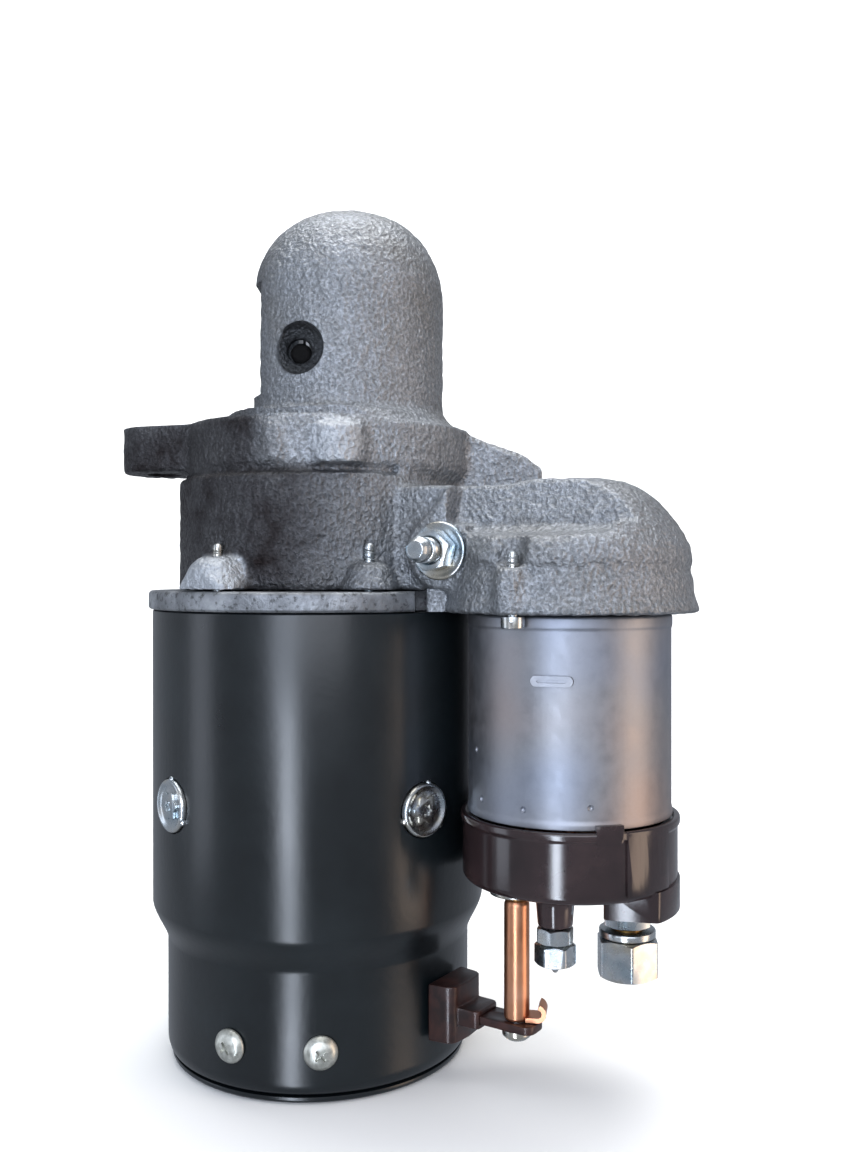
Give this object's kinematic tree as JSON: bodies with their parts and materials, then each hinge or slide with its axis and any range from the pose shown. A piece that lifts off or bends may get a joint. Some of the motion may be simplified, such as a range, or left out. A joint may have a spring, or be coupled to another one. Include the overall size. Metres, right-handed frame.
{
  "type": "starter motor",
  "caption": "Heavy starter motor: black cylindrical field frame, cast-iron nose housing with mounting flange and pinion window, and a solenoid alongside with a copper link.",
  "frame": {"origin": "centre of the flat rear (commutator end) face, on the armature axis", "axes": "+Z along the armature axis towards the nose, +X to the side that the solenoid is on, -Y the front with the terminals and the nose port"},
  "size_m": [0.1917, 0.1415, 0.2885],
  "materials": {
    "cast_iron": "sand-cast grey iron, unpainted, coarse grain",
    "black_paint": "satin black paint on steel",
    "machined_plate": "machined face, light grey",
    "zinc_plate": "bright zinc plating",
    "bare_steel": "machined steel, lightly oiled",
    "solenoid_zinc": "drawn steel, bright zinc plating, satin",
    "copper": "bare copper, bright",
    "wound_copper": "enamelled copper windings",
    "bearing_bronze": "oil-filled sintered bronze",
    "black_phenolic": "black-brown moulded phenolic",
    "brush_carbon": "copper-carbon brush"
  },
  "bodies": {
    "root": {"battery_jam_nut": "zinc_plate", "battery_nut": "zinc_plate", "battery_stud": "copper", "battery_washer": "zinc_plate", "brush_1": "brush_carbon", "brush_2": "brush_carbon", "brush_3": "brush_carbon", "brush_4": "brush_carbon", "brush_plate": "bare_steel", "brush_screw_1": "zinc_plate", "brush_screw_2": "zinc_plate", "centre_bush": "bearing_bronze", "centre_plate": "machined_plate", "copper_link": "copper", "drive_end_housing": "cast_iron", "field_frame": "black_paint", "field_terminal": "copper", "field_winding": "wound_copper", "link_screw": "zinc_plate", "motor_stud": "copper", "motor_stud_washer": "zinc_plate", "nose_bush": "bearing_bronze", "pivot_bolt": "zinc_plate", "pivot_nut": "zinc_plate", "pivot_washer": "zinc_plate", "plate_stud_1": "zinc_plate", "plate_stud_2": "zinc_plate", "pole_screw_1": "zinc_plate", "pole_screw_2": "zinc_plate", "pole_screw_3": "zinc_plate", "pole_screw_4": "zinc_plate", "pole_shoe_1": "bare_steel", "pole_shoe_2": "bare_steel", "pole_shoe_3": "bare_steel", "pole_shoe_4": "bare_steel", "rear_bush": "bearing_bronze", "rear_end_frame": "black_paint", "return_spring": "bare_steel", "solenoid_can": "solenoid_zinc", "solenoid_cap": "black_phenolic", "solenoid_coil": "wound_copper", "solenoid_core": "bare_steel", "solenoid_screw_1": "zinc_plate", "solenoid_screw_2": "zinc_plate", "switch_nut_1": "zinc_plate", "switch_nut_2": "zinc_plate", "switch_stud": "zinc_plate", "terminal_insulator": "black_phenolic", "through_bolt_1": "zinc_plate", "through_bolt_2": "zinc_plate"},
    "armature": {"armature_shaft": "bare_steel", "armature_core": "bare_steel", "armature_winding": "wound_copper", "commutator": "copper", "pinion_stop_ring": "bare_steel"},
    "drive": {"drive_clutch": "bare_steel"},
    "pinion": {"pinion": "bare_steel"},
    "plunger": {"plunger": "bare_steel"},
    "lever": {"shift_lever": "bare_steel"},
    "contact": {"contact_disc": "copper"}
  },
  "joints": [
    {"name": "armature_spin", "type": "hinge", "parent": "root", "child": "armature", "pos_m": [0, 0, 0.09], "axis": [0, 0, 1], "continuous": true},
    {"name": "drive_slide", "type": "slide", "parent": "armature", "child": "drive", "axis": [0, 0, 1], "range_m": [0, 0.0183]},
    {"name": "pinion_overrun", "type": "hinge", "parent": "drive", "child": "pinion", "pos_m": [0, 0, 0.2168], "axis": [0, 0, 1], "continuous": true},
    {"name": "plunger_slide", "type": "slide", "parent": "root", "child": "plunger", "axis": [0, 0, -1], "range_m": [0, 0.0097], "stiffness_N_per_m": 900, "springref_m": -0.008, "deforming": ["return_spring"]},
    {"name": "lever_swing", "type": "hinge", "parent": "root", "child": "lever", "pos_m": [0.05403, -0.0261, 0.1697], "axis": [0.435, 0.9004, 0], "range_deg": [0, 17.6]},
    {"name": "contact_slide", "type": "slide", "parent": "root", "child": "contact", "axis": [0, 0, -1], "range_m": [0, 0.0025]}
  ],
  "couplings": [
    {"joint": "drive_slide", "follows": "plunger_slide", "ratio": 1.8776},
    {"joint": "lever_swing", "follows": "plunger_slide", "rad_per_m": 31.488},
    {"joint": "contact_slide", "follows": "plunger_slide", "ratio": 0.25}
  ]
}
